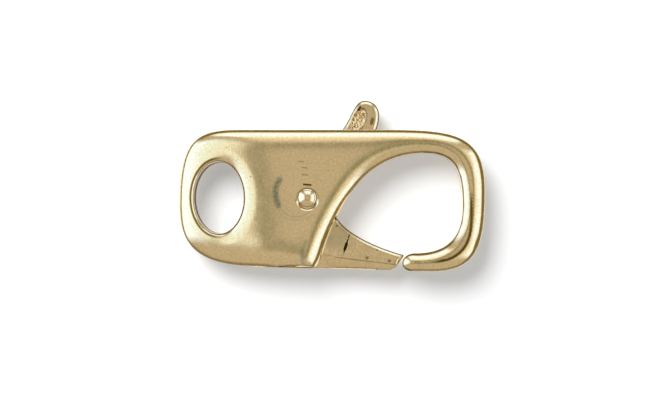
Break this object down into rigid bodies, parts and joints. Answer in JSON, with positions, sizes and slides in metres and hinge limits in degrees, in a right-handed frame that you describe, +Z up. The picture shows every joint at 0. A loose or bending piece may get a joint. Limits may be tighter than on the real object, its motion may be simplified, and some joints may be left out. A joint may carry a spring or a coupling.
{
  "type": "lobster clasp",
  "caption": "Polished gold lobster clasp: a flat claw-shaped body with an oval chain eye, a wide hook, and a sprung trigger with a thumb lever and gate on a domed rivet.",
  "frame": {"origin": "middle of the clasp's outline on the flat back that it rests on", "axes": "+X from the chain eye to the hook, +Y towards the thumb lever, +Z up out of the front with the rivet's domed head"},
  "size_m": [0.024, 0.0134, 0.0044],
  "materials": {
    "body_gold": "polished 14 carat yellow gold with fine wear",
    "trigger_gold": "worn, slightly grainy 14 carat yellow gold",
    "rivet_gold": "polished 14 carat yellow gold",
    "spring_steel": "plain spring steel"
  },
  "bodies": {
    "body": {"clasp_body": "body_gold", "rivet": "rivet_gold", "spring": "spring_steel"},
    "trigger": {"trigger": "trigger_gold"}
  },
  "joints": [
    {"name": "trigger_hinge", "type": "hinge", "parent": "body", "child": "trigger", "pos_m": [-0.0019, -0.00092, 0.002], "axis": [0, 0, 1], "range_deg": [0, 25], "stiffness_Nm_per_rad": 0.01, "springref_deg": -57.3, "deforming": ["spring"]}
  ]
}
